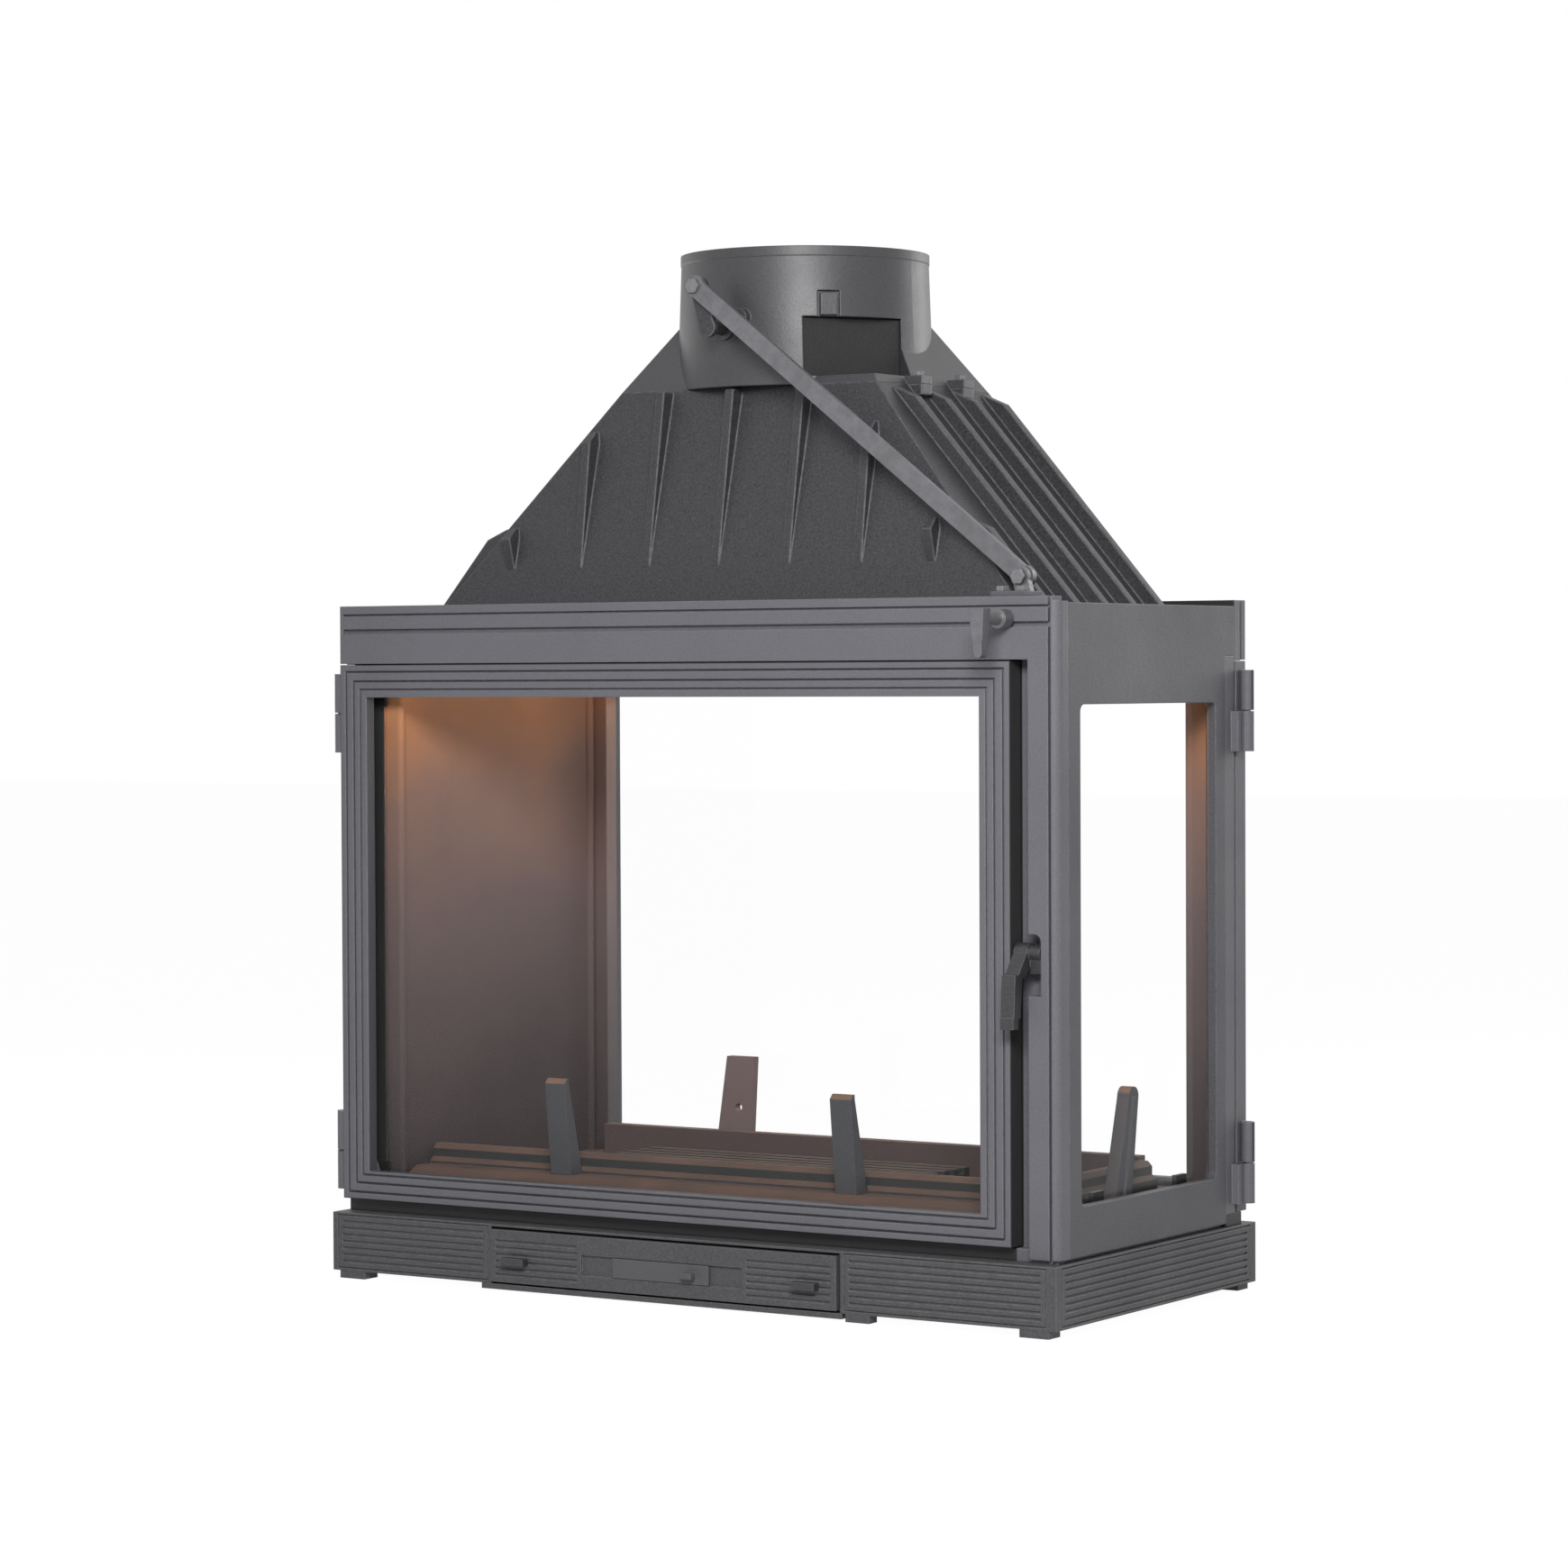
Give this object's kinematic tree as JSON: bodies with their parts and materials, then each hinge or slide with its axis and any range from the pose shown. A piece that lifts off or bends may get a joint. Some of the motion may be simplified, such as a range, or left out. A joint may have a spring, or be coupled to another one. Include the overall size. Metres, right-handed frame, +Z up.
{
  "type": "fireplace insert",
  "caption": "Cast-iron fireplace insert glazed on the front, right end and rear, with hinged doors, a ribbed hood with a round damper collar, and an ash drawer in the plinth.",
  "frame": {"origin": "on the floor, under the middle of the overall box", "axes": "+X to the right seen from the front door, +Y to the rear door, +Z up along the flue"},
  "size_m": [0.724, 0.382, 0.864],
  "materials": {
    "cast_iron": "matte stove paint, anthracite",
    "sheet_steel": "matte stove paint, anthracite",
    "black_steel": "matte black",
    "steel": "blackened steel",
    "glass": "clear glass ceramic",
    "rope": "woven glass-fibre rope",
    "board": "pressed mineral board"
  },
  "bodies": {
    "body": {"plinth": "cast_iron", "drawer_shelf": "sheet_steel", "hearth_plate": "cast_iron", "grate": "cast_iron", "front_log_rail": "cast_iron", "rear_log_rail": "cast_iron", "side_log_rail": "cast_iron", "front_log_posts": "cast_iron", "rear_log_posts": "cast_iron", "side_log_post": "cast_iron", "left_wall": "cast_iron", "left_fireback": "cast_iron", "insulation_board": "board", "front_frame": "cast_iron", "rear_frame": "cast_iron", "side_plate": "cast_iron", "side_glass": "glass", "side_gasket": "rope", "side_glass_clips": "black_steel", "deck_plate": "cast_iron", "hood_lower": "cast_iron", "hood_cap": "cast_iron", "flue_hatch": "sheet_steel", "seam_bolts": "steel", "smoke_baffle": "sheet_steel", "damper_bracket": "sheet_steel", "bracket_bolts": "steel", "front_hinge_pins": "steel", "rear_hinge_pins": "steel"},
    "front_door": {"front_door_frame": "cast_iron", "front_door_glass": "glass", "front_door_gasket": "rope", "front_door_clips": "black_steel", "front_door_seal": "rope"},
    "front_latch": {"front_latch_handle": "cast_iron", "front_latch_pin": "steel"},
    "rear_door": {"rear_door_frame": "cast_iron", "rear_door_glass": "glass", "rear_door_gasket": "rope", "rear_door_clips": "black_steel", "rear_door_seal": "rope"},
    "rear_latch": {"rear_latch_handle": "cast_iron", "rear_latch_pin": "steel"},
    "lever": {"damper_lever": "cast_iron", "damper_shaft": "steel", "damper_crank": "cast_iron"},
    "link": {"damper_link": "sheet_steel", "link_pins": "steel"},
    "flap": {"flap_crank": "cast_iron", "flap_axle": "steel", "damper_flap": "cast_iron"},
    "drawer": {"ash_drawer_front": "cast_iron", "ash_drawer_pulls": "cast_iron", "ash_pan": "sheet_steel"},
    "slider": {"air_slider": "sheet_steel"}
  },
  "joints": [
    {"name": "front_door_swing", "type": "hinge", "parent": "body", "child": "front_door", "pos_m": [-0.3565, -0.136, 0.3], "axis": [0, 0, -1], "range_deg": [0, 110]},
    {"name": "rear_door_swing", "type": "hinge", "parent": "body", "child": "rear_door", "pos_m": [0.3565, 0.162, 0.3], "axis": [0, 0, -1], "range_deg": [0, 110]},
    {"name": "front_latch_turn", "type": "hinge", "parent": "front_door", "child": "front_latch", "pos_m": [0.315, -0.136, 0.296], "axis": [-1, 0, 0], "range_deg": [0, 40]},
    {"name": "rear_latch_turn", "type": "hinge", "parent": "rear_door", "child": "rear_latch", "pos_m": [-0.315, 0.162, 0.296], "axis": [1, 0, 0], "range_deg": [0, 40]},
    {"name": "damper_lever_turn", "type": "hinge", "parent": "body", "child": "lever", "pos_m": [0.304, -0.145, 0.5544], "axis": [0, 1, 0], "range_deg": [0, 65]},
    {"name": "link_pivot", "type": "hinge", "parent": "lever", "child": "link", "pos_m": [0.295, -0.099, 0.5879], "axis": [0, 1, 0], "range_deg": [-65, 0]},
    {"name": "damper_flap_turn", "type": "hinge", "parent": "body", "child": "flap", "pos_m": [-0.006, 0.041, 0.797], "axis": [0, 1, 0], "range_deg": [0, 65]},
    {"name": "ash_drawer_slide", "type": "slide", "parent": "body", "child": "drawer", "axis": [0, -1, 0], "range_m": [0, 0.22]},
    {"name": "air_slider_slide", "type": "slide", "parent": "drawer", "child": "slider", "axis": [1, 0, 0], "range_m": [-0.03, 0.03]}
  ],
  "couplings": [
    {"joint": "link_pivot", "follows": "damper_lever_turn", "ratio": -1},
    {"joint": "damper_flap_turn", "follows": "damper_lever_turn", "ratio": 1}
  ]
}
